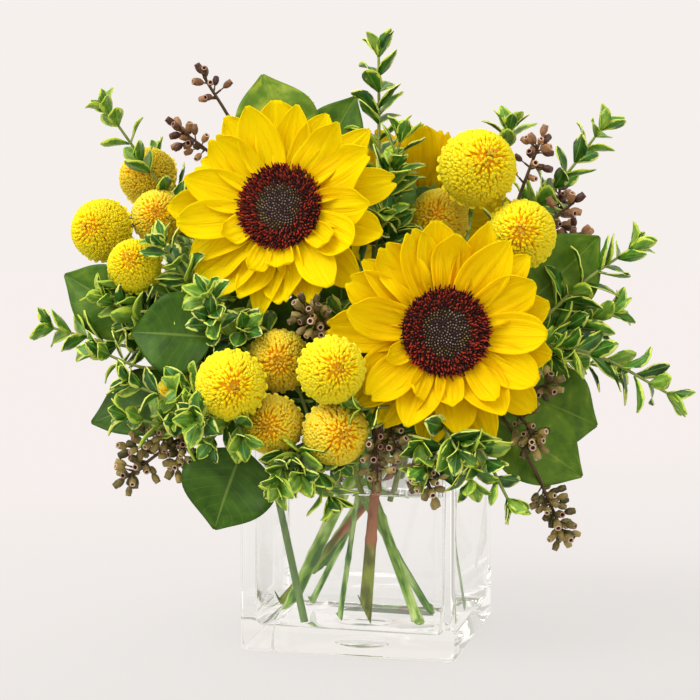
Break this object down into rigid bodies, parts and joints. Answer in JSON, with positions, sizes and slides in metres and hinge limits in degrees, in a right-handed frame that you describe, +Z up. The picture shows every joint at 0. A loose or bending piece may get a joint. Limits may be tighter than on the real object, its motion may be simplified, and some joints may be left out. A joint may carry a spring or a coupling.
{
  "type": "sunflowers in a vase",
  "caption": "Cut sunflowers, button chrysanthemums, seeded eucalyptus, variegated boxwood and salal leaves, standing in water in a clear glass cube vase.",
  "frame": {"origin": "middle of the vase's flat underside", "axes": "+Z up, the vase's faces look along X and Y, and the bouquet's front looks 14.5 degrees round from -Y towards +X"},
  "size_m": [0.3661, 0.2939, 0.3586],
  "materials": {
    "clear_glass": "polished",
    "water": "clear",
    "petals_lemon": "satin",
    "petals_gold": "satin",
    "seed_disc": "matt",
    "sunflower_stem": "matt",
    "florets_lemon": "matt",
    "florets_gold": "matt",
    "spray_stem": "matt",
    "eucalyptus": "matt",
    "boxwood": "satin",
    "salal": "satin"
  },
  "bodies": {
    "root": {"boxwood_back": "boxwood", "boxwood_back_left": "boxwood", "boxwood_back_right": "boxwood", "boxwood_front": "boxwood", "boxwood_front_left": "boxwood", "boxwood_front_right": "boxwood", "boxwood_left": "boxwood", "boxwood_right": "boxwood", "boxwood_top": "boxwood", "boxwood_top_right": "boxwood", "boxwood_upper_left": "boxwood", "eucalyptus_back_left": "eucalyptus", "eucalyptus_back_right": "eucalyptus", "eucalyptus_front": "eucalyptus", "eucalyptus_left": "eucalyptus", "eucalyptus_right": "eucalyptus", "eucalyptus_top_left": "eucalyptus", "eucalyptus_top_right": "eucalyptus", "pom_back_1": "florets_lemon", "pom_back_2": "florets_gold", "pom_back_3": "florets_lemon", "pom_front_1": "florets_lemon", "pom_front_2": "florets_gold", "pom_front_3": "florets_lemon", "pom_front_4": "florets_gold", "pom_front_5": "florets_gold", "pom_front_6": "florets_gold", "pom_left_1": "florets_lemon", "pom_left_2": "florets_gold", "pom_left_3": "florets_gold", "pom_left_4": "florets_lemon", "pom_right_1": "florets_lemon", "pom_right_2": "florets_gold", "pom_right_3": "florets_lemon", "salal_back": "salal", "salal_back_left": "salal", "salal_back_right": "salal", "salal_left": "salal", "salal_right": "salal", "salal_top": "salal", "salal_upper_left": "salal", "spray_back": "spray_stem", "spray_front": "spray_stem", "spray_left": "spray_stem", "spray_right": "spray_stem", "sunflower_a_disc": "seed_disc", "sunflower_a_petals": "petals_lemon", "sunflower_a_stem": "sunflower_stem", "sunflower_b_disc": "seed_disc", "sunflower_b_petals": "petals_gold", "sunflower_b_stem": "sunflower_stem", "sunflower_c_disc": "seed_disc", "sunflower_c_petals": "petals_gold", "sunflower_c_stem": "sunflower_stem", "vase": "clear_glass", "water": "water"}
  },
  "joints": []
}
